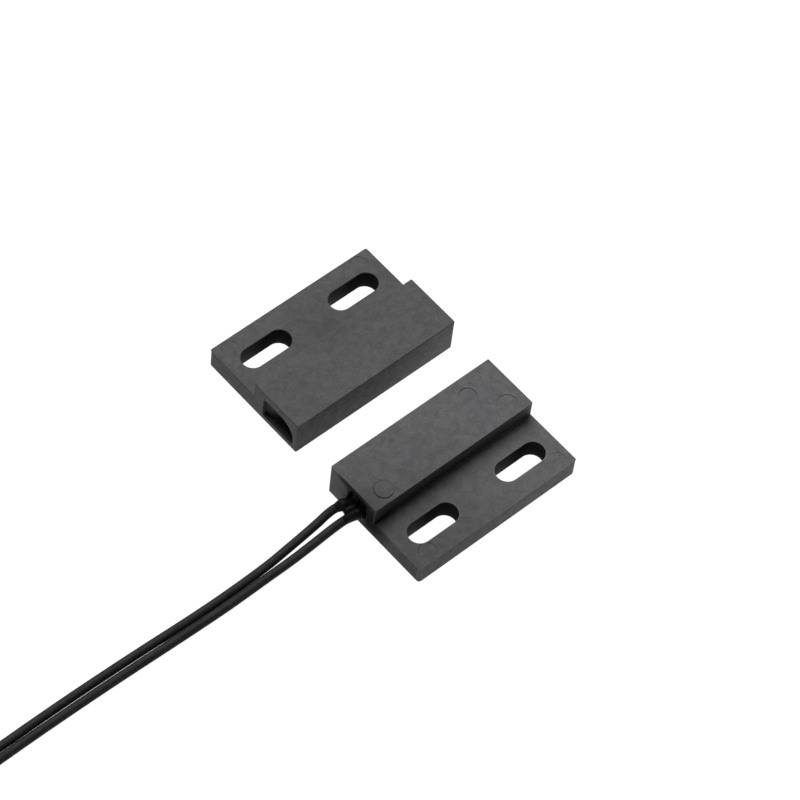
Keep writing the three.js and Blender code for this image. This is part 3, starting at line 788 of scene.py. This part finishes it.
def housing(name, node, half, top_pins, flange_pins, materials, painted_light_facing):
    """A whole housing. Its flat faces that look along the given direction get the material of the last slot,
    a lighter copy of the plastic with painted light and shade.
    """
    body = stepped_body(name, half, materials)
    cutters = [*slot_cutters(half), pocket_cutter(half)]
    cutters += pin_cutters(half, top_pins, half.top)
    cutters += pin_cutters(half, flange_pins, FLANGE_HEIGHT)
    cut(body, cutters)
    for polygon in body.data.polygons:
        polygon.use_smooth = True
        if polygon.material_index == EDGE_WEAR_AND_SHEEN and polygon.center.z < UNWORN_BELOW * MM:
            polygon.material_index = PLAIN
        # Faces along the given direction take the copy with painted light
        elif polygon.material_index == PLAIN and polygon.normal.dot(painted_light_facing) > FACING:
            polygon.material_index = PAINTED_LIGHT_FACE
    body.data.set_sharp_from_angle(angle=SHARP_ANGLE)
    normals = body.modifiers.new("normals", "WEIGHTED_NORMAL")
    normals.mode = "FACE_AREA"
    normals.weight = 80
    normals.keep_sharp = True
    shown(body)
    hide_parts(node)
    return body


# ---- Fillings --------------------------------------------------------------------------------------
def resampled(outline, step):
    """The same closed outline with a point at least every step."""
    points = []
    for i, start in enumerate(outline):
        stop = outline[(i + 1) % len(outline)]
        parts = max(1, math.ceil(math.dist(start, stop) / step))
        points += [tuple(a + (b - a) * k / parts for a, b in zip(start, stop)) for k in range(parts)]
    return points


def filling(name, half, face_x, back_x, collars, material):
    """Resin set in a pocket's mouth: it climbs the walls and the leads. face_x(y) is its face's x."""
    (y0, y1), (z0, z1) = half.pocket["y"], half.pocket["z"]
    middle_y, middle_z = (y0 + y1) / 2, (z0 + z1) / 2
    rim = resampled(pocket_section(half.pocket, -FILL_GAP), FILL_STEP)

    def surface(y, z, inset):
        climb = WALL_CLIMB * math.exp(-inset / WALL_FADE)
        for lead_y, lead_z, height in collars:
            away = math.hypot(y - lead_y, z - lead_z) - LEAD_DIAMETER / 2
            climb = max(climb, height * math.exp(-max(away, 0) / LEAD_FADE))
        lumps = 0.12 * math.sin(2.1 * y + 0.7) * math.cos(1.7 * z) + 0.06 * math.sin(4.3 * y - 3.1 * z)
        return face_x(y) - climb + lumps * min(1, inset / 0.3)

    points = []
    for ring in range(FILL_RINGS):
        share = 1 - ring / FILL_RINGS
        for y, z in rim:
            ring_y = middle_y + (y - middle_y) * share
            ring_z = middle_z + (z - middle_z) * share
            inset = (1 - share) * min(y1 - y0, z1 - z0) / 2
            points.append(half.place(surface(ring_y, ring_z, inset), ring_y, ring_z))
    count = len(rim)
    faces = band_faces(FILL_RINGS, count)
    inner = (FILL_RINGS - 1) * count
    faces.append(tuple(inner + i for i in range(count)))
    back = len(points)
    points += [half.place(back_x, y, z) for y, z in rim]
    faces += [(i, (i + 1) % count, back + (i + 1) % count, back + i) for i in range(count)]
    faces.append(tuple(back + i for i in range(count)))
    piece = mesh_from(name, points, faces, [material])
    piece.data.set_sharp_from_angle(angle=math.radians(60))
    return piece


def resin_collar(route_a, route_b, material):
    """Resin that was pushed out of the mouth round the leads, and set between them."""
    web = [tuple((a + b) / 2 for a, b in zip(p, q)) for p, q in zip(route_a, route_b)]
    web[-1] = tuple(between(ends, WEB_END) for ends in zip(web[-2], web[-1]))
    runs = ((route_a, COLLAR_A), (route_b, COLLAR_B), (web, COLLAR_WEB))
    collar = round_curve("switch_resin_collar", runs, 8, material)
    return collar


def magnet_face(y):
    (x0, y0), (x1, y1) = MAGNET_SLOPE
    return max(MAGNET_FILL_FRONT, x0 + (x1 - x0) * (y - y0) / (y1 - y0))


# ---- Leads -----------------------------------------------------------------------------------------
def wound(phase, start_phase):
    """A point of the coil. phase is the angle run through, and start_phase is half a turn for lead A."""
    layer = int(phase // LAYER_SPAN)
    if layer >= COIL_LAYERS:
        radius = COIL_IN_R + COIL_PITCH * (phase - COIL_END_PHASE) / PI
        z = COIL_END_Z
    else:
        within = phase - layer * LAYER_SPAN
        spiralled = min(within / LAYER_SPIRAL, 1.0)
        from_inside = spiralled if layer % 2 else 1 - spiralled
        radius = COIL_IN_R + (COIL_OUT_R - COIL_IN_R) * from_inside
        climbed = max(0.0, (within - LAYER_SPIRAL) / COIL_STEP)
        z = COIL_FIRST_Z + COIL_RISE * (layer + climbed * climbed * (3 - 2 * climbed))
    angle = -PI / 2 - (phase - start_phase)
    return (COIL_CENTRE[0] + radius * math.cos(angle), COIL_CENTRE[1] + radius * math.sin(angle), z)


def coil_points(start_phase, end_phase):
    span = end_phase - start_phase
    count = math.ceil(span / COIL_POINT)
    return [wound(start_phase + span * i / count, start_phase) for i in range(count + 1)]


def tinned_tip(name, lead_end, start_phase, material):
    """The bare end of a lead: twisted strands under a skin of solder."""
    sides = STRANDS * STRAND_SIDES
    start = lead_end + TIP_START_PHASE
    path = [
        Vector(wound(start + TIP_LENGTH_PHASE * i / TIP_STEPS, start_phase)) for i in range(TIP_STEPS + 1)]
    points = []
    for i, centre in enumerate(path):
        ahead = path[min(i + 1, TIP_STEPS)] - path[max(i - 1, 0)]
        across = Vector((0, 0, 1)).cross(ahead).normalized()
        upward = ahead.cross(across).normalized()
        rounding = math.sqrt(max(0.0, 1 - max(0.0, (i - TIP_STEPS + 2) / 2.3) ** 2))
        for k in range(sides):
            angle = 2 * PI * k / sides
            lobe = abs(math.cos(STRANDS * (angle + TIP_TWIST * i) / 2))
            radius = TIP_R * (0.83 + 0.17 * lobe) * rounding
            points.append(centre + across * radius * math.cos(angle) + upward * radius * math.sin(angle))
    faces = band_faces(TIP_STEPS + 1, sides)
    faces += [tuple(range(sides)), tuple(TIP_STEPS * sides + k for k in range(sides))]
    tip = mesh_from(name, points, faces, [material])
    return tip


def tie_section():
    """Half-round wire in a flat strip, as (across, out) points; the wire stands out on the inner side."""
    half = TIE_WIDTH / 2
    turns = [PI * i / 8 for i in range(9)]
    wire = [(TIE_CORE_HALF * math.cos(turn), -TIE_CORE * math.sin(turn)) for turn in turns]
    return [(half, 0), (half, TIE_THICK), (-half, TIE_THICK), (-half, 0), *reversed(wire)]


def twist_tie(materials):
    """A plastic-covered wire strip round the coil, with its two ends twisted together."""
    low = COIL_IN_R - LEAD_DIAMETER / 2 - TIE_GAP
    high = COIL_OUT_R + LEAD_DIAMETER / 2 + TIE_GAP
    top = COIL_END_Z + LEAD_DIAMETER / 2 + TIE_TOP_GAP
    loop = rounded_rectangle((low, high), (TIE_LOW, top), TIE_CORNER, 8)
    section = tie_section()
    radial = Vector((math.cos(TIE_ANGLE), math.sin(TIE_ANGLE), 0))
    along = Vector((-math.sin(TIE_ANGLE), math.cos(TIE_ANGLE), 0))
    centre = Vector((*COIL_CENTRE, 0))
    points = []
    for i, (r, z) in enumerate(loop):
        before, after = loop[i - 1], loop[(i + 1) % len(loop)]
        run = Vector((after[0] - before[0], after[1] - before[1])).normalized()
        outward = Vector((run.y, -run.x))
        for across, out in section:
            at_r, at_z = r + outward.x * out, z + outward.y * out
            points.append(centre + radial * at_r + along * across + Vector((0, 0, at_z)))
    faces = band_faces(len(loop), len(section), closed=True)
    middle = centre + Vector((0, 0, (TIE_LOW + top) / 2))
    for strand in (0, PI):
        add_strand(points, faces, strand, middle, radial, along)
    tie = mesh_from("twist_tie", points, faces, [materials["tie_plastic"]])
    tie.data.set_sharp_from_angle(angle=math.radians(40))
    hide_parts("coil_tie")
    return tie


def add_strand(points, faces, strand, middle, radial, along):
    """One of the tie's two twisted ends, a strip that winds round the other."""
    first = len(points)
    for i in range(TWIST_STEPS + 1):
        share = i / TWIST_STEPS
        turn = strand + 2 * PI * TWIST_TURNS * share
        outward = along * math.cos(turn) + Vector((0, 0, 1)) * math.sin(turn)
        sideways = radial.cross(outward)
        spine = middle + radial * between(TWIST_REACH, share) + outward * between(TWIST_OPEN, share)
        for across, out in TWIST_STRIP:
            points.append(spine + sideways * across + outward * out)
    width = len(TWIST_STRIP)
    faces += band_faces(TWIST_STEPS + 1, width, first)
    faces.append(tuple(first + k for k in range(width)))
    faces.append(tuple(first + TWIST_STEPS * width + k for k in range(width)))


def make_lead(letter, route, start_phase, end_phase, materials, replaced):
    name = f"lead_{letter}"
    points = route + coil_points(start_phase, end_phase)
    cord = round_curve(f"{name}_cord", [(points, [1.0] * len(points))], 5, materials["lead_insulation"])
    tip = tinned_tip(f"{name}_tinned_tip", end_phase, start_phase, materials["tinned_copper"])
    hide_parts(*replaced)
    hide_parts(f"{name}_tip")
    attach(cord, "switch_half")
    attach(tip, "switch_half")
    return cord, tip


def make_leads(materials):
    lead_a, tip_a = make_lead(
        "a", LEAD_A_ROUTE, PI, LEAD_A_END, materials, ["lead_a", "lead_coil", "lead_a_end"])
    lead_b, tip_b = make_lead("b", LEAD_B_ROUTE, 0, LEAD_B_END, materials, ["lead_b", "lead_b_end"])
    tie = twist_tie(materials)
    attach(tie, "switch_half")
    for lead, route, pieces in ((lead_a, LEAD_A_ROUTE, [tip_a, tie]), (lead_b, LEAD_B_ROUTE, [tip_b])):
        [value * MM for value in route[0]]
        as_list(pieces)


# ---- Stage -----------------------------------------------------------------------------------------
def make_camera():
    azimuth, elevation, roll = (
        math.radians(v) for v in (CAMERA_AZIMUTH, CAMERA_ELEVATION, CAMERA_ROLL))
    back = Vector((
        math.sin(azimuth) * math.cos(elevation),
        -math.cos(azimuth) * math.cos(elevation),
        math.sin(elevation)))
    level = Vector((math.cos(azimuth), math.sin(azimuth), 0))
    steep = back.cross(level)
    right = level * math.cos(roll) + steep * math.sin(roll)
    up = steep * math.cos(roll) - level * math.sin(roll)
    data = bpy.data.cameras.new("camera")
    data.lens = CAMERA_LENS
    data.sensor_width = SENSOR
    data.clip_start = 0.01
    camera = bpy.data.objects.new("camera", data)
    bpy.context.scene.collection.objects.link(camera)
    place = (Vector(CAMERA_TARGET) + back * CAMERA_DISTANCE) * MM
    camera.matrix_world = Matrix.Translation(place) @ Matrix((right, up, back)).transposed().to_4x4()
    bpy.context.scene.camera = camera


def overhead_softbox():
    data = bpy.data.lights.new("overhead_softbox", "AREA")
    data.shape = "RECTANGLE"
    data.size, data.size_y = KEY_SIZE_M
    data.energy = KEY_POWER
    light = bpy.data.objects.new("overhead_softbox", data)
    bpy.context.scene.collection.objects.link(light)
    light.location = KEY_PLACE_M
    light.rotation_mode = "QUATERNION"
    light.rotation_quaternion = (Vector(KEY_AIM_M) - Vector(KEY_PLACE_M)).to_track_quat("-Z", "Y")


def make_stage():
    corners = ((-1, -1), (1, -1), (1, 1), (-1, 1))
    points = [(x * FLOOR_HALF, y * FLOOR_HALF, FLOOR_Z) for x, y in corners]
    floor = mesh_from("floor", points, [(0, 1, 2, 3)], [floor_paper()], smooth=False)
    overhead_softbox()
    world = bpy.data.worlds.new("studio")
    world.use_nodes = True
    background = world.node_tree.nodes["Background"]
    background.inputs["Color"].default_value = WORLD_COLOUR
    background.inputs["Strength"].default_value = WORLD_STRENGTH
    bpy.context.scene.world = world
    bpy.context.scene.view_settings.view_transform = "Standard"


# ---- The scene -------------------------------------------------------------------------------------
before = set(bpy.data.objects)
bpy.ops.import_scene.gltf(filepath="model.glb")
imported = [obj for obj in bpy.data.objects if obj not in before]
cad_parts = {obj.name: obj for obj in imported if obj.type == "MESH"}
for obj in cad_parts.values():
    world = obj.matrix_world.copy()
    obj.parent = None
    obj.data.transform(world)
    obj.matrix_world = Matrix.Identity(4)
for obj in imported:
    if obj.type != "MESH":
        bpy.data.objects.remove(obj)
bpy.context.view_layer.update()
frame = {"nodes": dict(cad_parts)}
make_camera()
switch = Half("switch_housing", 1, SWITCH_POCKET)
magnet = Half("magnet_housing", -1, MAGNET_POCKET)
finishes = make_materials(switch, magnet)
make_leads(finishes)

switch_shell = housing(
    "switch_shell", "switch_housing", switch, SWITCH_TOP_PINS, SWITCH_FLANGE_PINS,
    [finishes[f"switch_{n}"] for n in ("plastic", "edges", "slots", "end")], painted_light_facing=Vector((-1, 0, 0)))
magnet_shell = housing(
    "magnet_shell", "magnet_housing", magnet, [], MAGNET_FLANGE_PINS,
    [finishes[f"magnet_{n}"] for n in ("plastic", "edges", "slots", "front")], painted_light_facing=Vector((0, -1, 0)))
switch_fill = filling(
    "switch_fill_face", switch, lambda y: SWITCH_FILL_FACE, SWITCH_FILL_FACE + SWITCH_FILL_THICK,
    SWITCH_COLLARS, finishes["potting_resin"])
covered = slice(COLLAR_FROM, COLLAR_FROM + len(COLLAR_A))
switch_collar = resin_collar(LEAD_A_ROUTE[covered], LEAD_B_ROUTE[covered], finishes["potting_resin"])
magnet_fill = filling("magnet_fill", magnet, magnet_face, MAGNET_FILL_BACK, [], finishes["dusty_resin"])
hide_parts("magnet_potting")
for piece in (switch_shell, switch_fill, switch_collar):
    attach(piece, "switch_half")
for piece in (magnet_shell, magnet_fill):
    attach(piece, "magnet_half")
finish_cad_nodes(frame, finishes)
make_stage()
